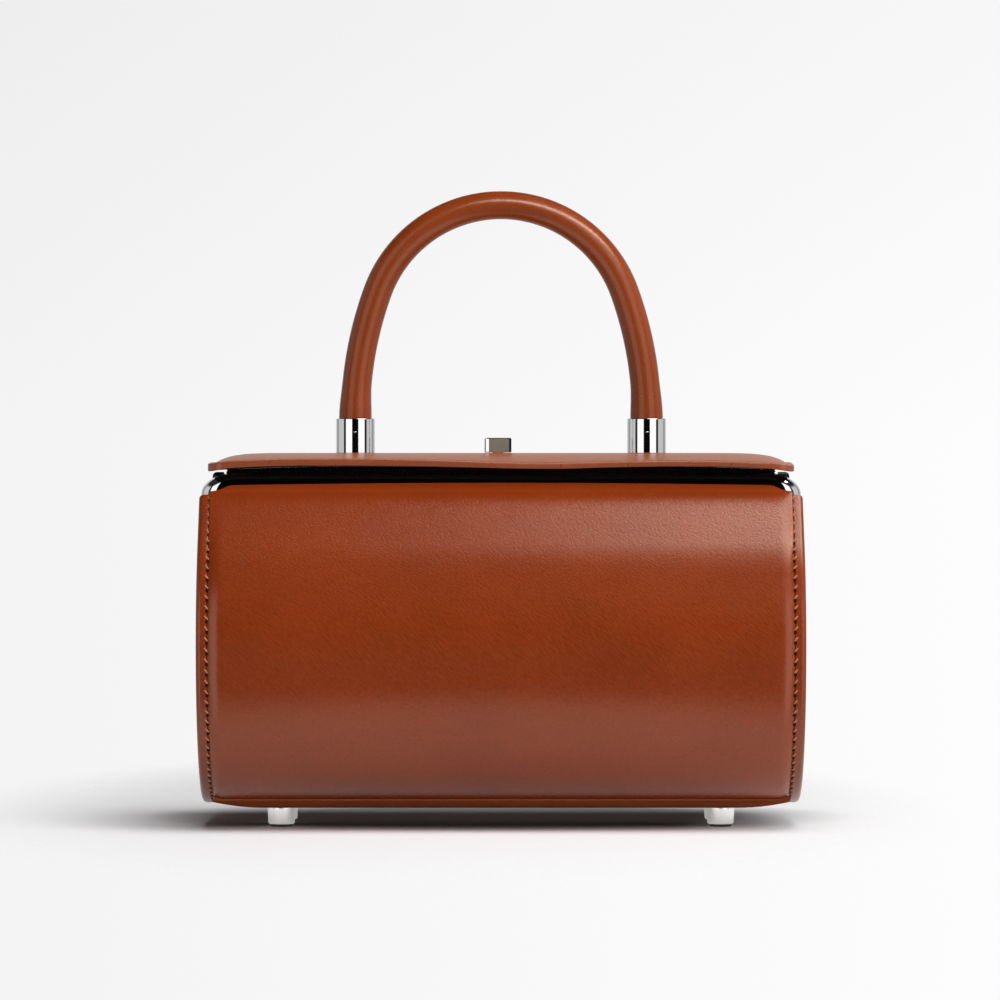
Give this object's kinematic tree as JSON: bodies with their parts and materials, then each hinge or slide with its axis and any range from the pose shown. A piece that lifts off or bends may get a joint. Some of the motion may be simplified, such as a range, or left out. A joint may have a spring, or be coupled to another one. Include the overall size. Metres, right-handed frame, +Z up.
{
  "type": "structured handbag",
  "caption": "Structured tan leather handbag with a rolled arch handle on metal ferrules, a hinged domed lid, a metal mouth frame and metal feet.",
  "frame": {"origin": "on the floor under the middle of the bag, at the bottom centre of its bounding box", "axes": "+X to the right of someone facing the front, -Y out of the front, +Z up towards the handle"},
  "size_m": [0.221, 0.1212, 0.234],
  "materials": {
    "leather": "semi-gloss",
    "handle_leather": "semi-gloss",
    "base_leather": "satin",
    "bright_metal": "polished",
    "satin_metal": "satin",
    "rubber": "matte"
  },
  "bodies": {
    "body": {"front_panel": "leather", "back_panel": "leather", "gusset_left": "leather", "gusset_right": "leather", "base_panel": "base_leather", "mouth_frame": "bright_metal", "hinge_pin": "bright_metal", "foot_front_left": "satin_metal", "foot_front_right": "satin_metal", "foot_back_left": "satin_metal", "foot_back_right": "satin_metal", "foot_pad_front_left": "rubber", "foot_pad_front_right": "rubber", "foot_pad_back_left": "rubber", "foot_pad_back_right": "rubber"},
    "lid": {"lid": "leather", "hinge_leaf": "bright_metal", "handle_grip": "handle_leather", "ferrule_left": "bright_metal", "ferrule_right": "bright_metal"},
    "lock": {"lock_knob": "satin_metal"}
  },
  "joints": [
    {"name": "lid_hinge", "type": "hinge", "parent": "body", "child": "lid", "pos_m": [0, 0.0321, 0.1286], "axis": [-1, 0, 0], "range_deg": [0, 95]},
    {"name": "lock_turn", "type": "hinge", "parent": "lid", "child": "lock", "pos_m": [-0.0011, -0.0042, 0.13755], "axis": [0, 0, 1], "range_deg": [0, 90]}
  ]
}
